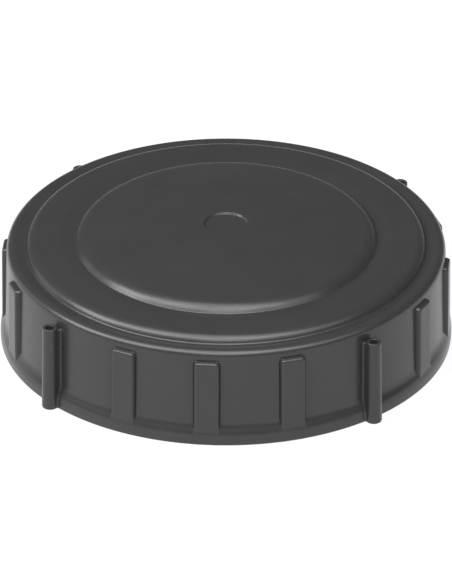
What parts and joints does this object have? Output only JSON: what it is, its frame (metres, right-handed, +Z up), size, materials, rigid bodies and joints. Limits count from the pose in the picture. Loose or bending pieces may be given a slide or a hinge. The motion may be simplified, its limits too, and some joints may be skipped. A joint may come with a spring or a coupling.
{
  "type": "screw lid",
  "caption": "Round screw lid for a wide-necked rock tumbler barrel: stepped domed deck, ribbed skirt with upright tube lugs, coarse inner thread and a pull-out flat sealing ring.",
  "frame": {"origin": "centre of the lid's lower rim, on the plane that the lid stands on", "axes": "+Z up along the lid's screw axis, out of the domed deck; the four tube lugs lie on the X and Y axes"},
  "size_m": [0.1826, 0.1826, 0.0489],
  "materials": {
    "lid_plastic": "dark grey moulded polypropylene, satin, with a faint sheen on its rounded edges",
    "seal_rubber": "black solid rubber, matt"
  },
  "bodies": {
    "lid": {"screw_lid": "lid_plastic"},
    "seal": {"sealing_ring": "seal_rubber"}
  },
  "joints": [
    {"name": "seal_pull_out", "type": "slide", "parent": "lid", "child": "seal", "axis": [0, 0, -1], "range_m": [0, 0.042]}
  ]
}
